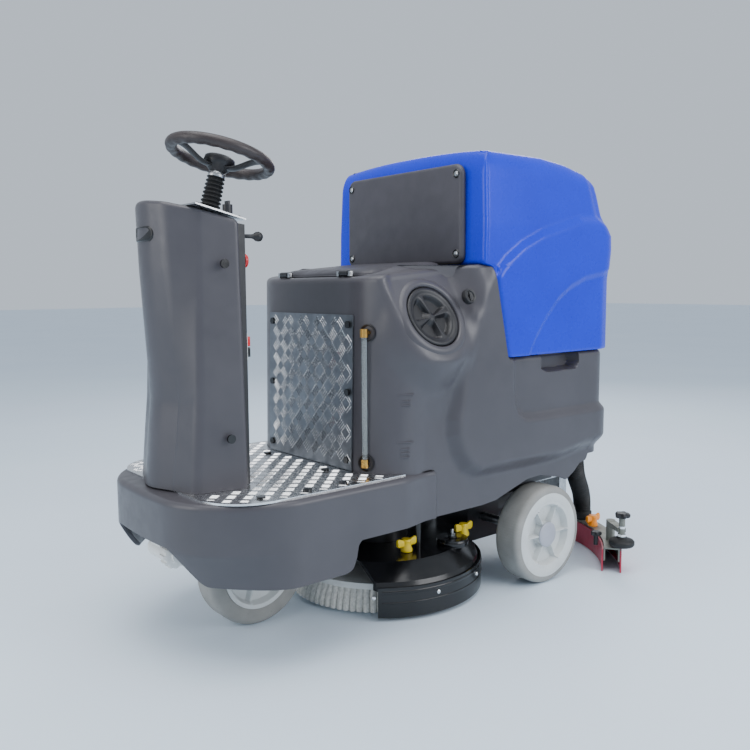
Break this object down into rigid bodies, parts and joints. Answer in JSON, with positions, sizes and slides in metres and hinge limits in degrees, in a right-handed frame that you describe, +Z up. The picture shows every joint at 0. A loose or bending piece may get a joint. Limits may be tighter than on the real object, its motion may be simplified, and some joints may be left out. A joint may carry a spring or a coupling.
{
  "type": "ride-on floor scrubber",
  "caption": "Compact ride-on floor scrubber: driver's seat and steering cowl, tilting recovery tank, disc brush deck, curved lifting squeegee, steered front wheel.",
  "frame": {"origin": "on the ground, at the middle of the machine's length and width", "axes": "+X forward, +Y to the driver's left, +Z up"},
  "size_m": [1.366, 0.7978, 1.083],
  "materials": {
    "grey_shell": "rotomoulded polyethylene, satin",
    "blue_shell": "rotomoulded polyethylene, smooth",
    "black_plastic": "moulded, fine grain",
    "dark_panel": "vinyl-like moulded skin",
    "chequer_plate": "five-bar chequer plate",
    "steel": "zinc-plated or brushed",
    "black_steel": "black enamel",
    "battery_case": "moulded battery case",
    "brass": "turned brass",
    "clear_tube": "clear tube",
    "pale_tyre": "non-marking rubber",
    "pale_rim": "moulded nylon",
    "red_plastic": "moulded",
    "pedal_aluminium": "pressed plate",
    "rubber": "moulded rubber",
    "brush_plate": "moulded back plate",
    "bristle": "nylon tufts",
    "yellow_plastic": "moulded",
    "cast_grey": "painted casting",
    "red_rubber": "polyurethane blade",
    "white_plastic": "moulded"
  },
  "bodies": {
    "chassis": {"solution_tank": "grey_shell", "front_cowl": "grey_shell", "dash_panel": "black_plastic", "console_plate": "steel", "cowl_lamp": "black_plastic", "foot_plate": "chequer_plate", "access_plate": "chequer_plate", "cup_screws": "black_steel", "seat_hinge_pins": "steel", "sight_tube": "clear_tube", "sight_tube_elbows": "brass", "vent_plug": "black_plastic", "steering_boot": "black_plastic", "steering_chain": "steel", "transaxle": "black_steel", "batteries": "battery_case", "motor_controller": "black_steel", "vacuum_motor": "black_steel", "charging_connector": "black_plastic", "filter_housing": "white_plastic", "suction_hose": "rubber", "tank_hinges": "steel"},
    "seat": {"seat_pan": "black_plastic", "seat_cushion": "dark_panel"},
    "filler_cap": {"filler_cap": "black_plastic"},
    "upper_tank": {"recovery_tank": "blue_shell", "backrest_panel": "dark_panel", "lid_gasket": "rubber"},
    "tank_lid": {"recovery_lid": "blue_shell"},
    "steering_wheel": {"steering_wheel": "black_plastic", "steering_shaft": "steel"},
    "column": {"column_shaft": "steel"},
    "fork": {"fork": "steel"},
    "front_wheel": {"front_tyre": "pale_tyre", "front_rim": "pale_rim"},
    "rear_wheel_left": {"rear_tyre_left": "pale_tyre", "rear_rim_left": "pale_rim", "half_shaft_left": "steel"},
    "rear_wheel_right": {"rear_tyre_right": "pale_tyre", "rear_rim_right": "pale_rim", "half_shaft_right": "steel"},
    "direction_lever": {"direction_lever": "black_plastic"},
    "emergency_button": {"emergency_button": "red_plastic"},
    "key_switch": {"key_switch": "black_plastic"},
    "accelerator_pedal": {"accelerator_pedal": "pedal_aluminium"},
    "brush_deck": {"brush_deck": "black_plastic", "splash_skirt": "rubber", "brush_motor": "black_steel"},
    "brush": {"brush_disc": "brush_plate", "brush_bristles": "bristle"},
    "wing_knob_front": {"wing_knob_front": "yellow_plastic"},
    "wing_knob_rear": {"wing_knob_rear": "yellow_plastic"},
    "squeegee": {"squeegee_body": "cast_grey", "squeegee_blades": "red_rubber", "squeegee_arm": "steel"},
    "bumper_roller_left": {"bumper_roller_left": "rubber"},
    "bumper_roller_right": {"bumper_roller_right": "rubber"},
    "squeegee_knob_left": {"squeegee_knob_left": "black_plastic"},
    "squeegee_knob_right": {"squeegee_knob_right": "black_plastic"},
    "filter_cap": {"filter_cap": "white_plastic"}
  },
  "joints": [
    {"name": "steering_turn", "type": "hinge", "parent": "chassis", "child": "steering_wheel", "pos_m": [0.474, 0, 1.03], "axis": [-0.2588, 0, 0.9659], "range_deg": [-75, 75]},
    {"name": "column_turn", "type": "hinge", "parent": "chassis", "child": "column", "pos_m": [0.53223, 0, 0.6], "axis": [0, 0, 1], "range_deg": [-78, 78]},
    {"name": "fork_steer", "type": "hinge", "parent": "chassis", "child": "fork", "pos_m": [0.419, 0, 0.3], "axis": [0, 0, 1], "range_deg": [-78, 78]},
    {"name": "front_wheel_spin", "type": "hinge", "parent": "fork", "child": "front_wheel", "pos_m": [0.419, 0, 0.125], "axis": [0, 1, 0], "continuous": true},
    {"name": "rear_left_spin", "type": "hinge", "parent": "chassis", "child": "rear_wheel_left", "pos_m": [-0.279, 0.252, 0.125], "axis": [0, 1, 0], "continuous": true},
    {"name": "rear_right_spin", "type": "hinge", "parent": "chassis", "child": "rear_wheel_right", "pos_m": [-0.279, -0.252, 0.125], "axis": [0, 1, 0], "continuous": true},
    {"name": "seat_tilt", "type": "hinge", "parent": "chassis", "child": "seat", "pos_m": [0.239, 0, 0.786], "axis": [0, 1, 0], "range_deg": [0, 80]},
    {"name": "tank_tilt", "type": "hinge", "parent": "chassis", "child": "upper_tank", "pos_m": [-0.32, -0.294, 0.602], "axis": [1, 0, 0], "range_deg": [0, 70]},
    {"name": "lid_open", "type": "hinge", "parent": "upper_tank", "child": "tank_lid", "pos_m": [-0.413, 0, 1.083], "axis": [0, -1, 0], "range_deg": [0, 85]},
    {"name": "filler_turn", "type": "hinge", "parent": "chassis", "child": "filler_cap", "pos_m": [0.105, 0.262, 0.69], "axis": [0, 0.891, 0.454], "range_deg": [0, 90]},
    {"name": "direction_lever_tilt", "type": "hinge", "parent": "chassis", "child": "direction_lever", "pos_m": [0.4836, 0.095, 0.86], "axis": [0, 1, 0], "range_deg": [-15, 15]},
    {"name": "emergency_press", "type": "slide", "parent": "chassis", "child": "emergency_button", "axis": [1, 0, 0], "range_m": [0, 0.005], "stiffness_N_per_m": 600},
    {"name": "key_turn", "type": "hinge", "parent": "chassis", "child": "key_switch", "pos_m": [0.518, 0.103, 0.905], "axis": [0, 0, 1], "range_deg": [0, 60]},
    {"name": "pedal_press", "type": "hinge", "parent": "chassis", "child": "accelerator_pedal", "pos_m": [0.349, -0.18, 0.359], "axis": [0, 1, 0], "range_deg": [0, 12], "stiffness_Nm_per_rad": 1.2, "springref_deg": -14.32},
    {"name": "deck_lift", "type": "slide", "parent": "chassis", "child": "brush_deck", "axis": [0, 0, 1], "range_m": [0, 0.035]},
    {"name": "brush_spin", "type": "hinge", "parent": "brush_deck", "child": "brush", "pos_m": [0.046, 0, 0.06], "axis": [0, 0, 1], "continuous": true},
    {"name": "wing_knob_front_turn", "type": "hinge", "parent": "brush_deck", "child": "wing_knob_front", "pos_m": [0.083, 0.15, 0.14], "axis": [0, 0, 1], "continuous": true},
    {"name": "wing_knob_rear_turn", "type": "hinge", "parent": "brush_deck", "child": "wing_knob_rear", "pos_m": [-0.111, 0.15, 0.14], "axis": [0, 0, 1], "continuous": true},
    {"name": "squeegee_lift", "type": "hinge", "parent": "chassis", "child": "squeegee", "pos_m": [-0.429, 0, 0.19], "axis": [0, 1, 0], "range_deg": [0, 12], "deforming": ["suction_hose"]},
    {"name": "roller_left_spin", "type": "hinge", "parent": "squeegee", "child": "bumper_roller_left", "pos_m": [-0.48503, 0.36595, 0.082], "axis": [0, 0, 1], "continuous": true},
    {"name": "roller_right_spin", "type": "hinge", "parent": "squeegee", "child": "bumper_roller_right", "pos_m": [-0.48503, -0.36595, 0.082], "axis": [0, 0, 1], "continuous": true},
    {"name": "squeegee_knob_left_turn", "type": "hinge", "parent": "squeegee", "child": "squeegee_knob_left", "pos_m": [-0.48503, 0.36595, 0.156], "axis": [0, 0, 1], "continuous": true},
    {"name": "squeegee_knob_right_turn", "type": "hinge", "parent": "squeegee", "child": "squeegee_knob_right", "pos_m": [-0.48503, -0.36595, 0.156], "axis": [0, 0, 1], "continuous": true},
    {"name": "filter_cap_turn", "type": "hinge", "parent": "chassis", "child": "filter_cap", "pos_m": [0.621, 0.014, 0.205], "axis": [0, 1, 0], "range_deg": [0, 120]}
  ],
  "couplings": [
    {"joint": "column_turn", "follows": "steering_turn", "ratio": 1},
    {"joint": "fork_steer", "follows": "steering_turn", "ratio": 1}
  ]
}
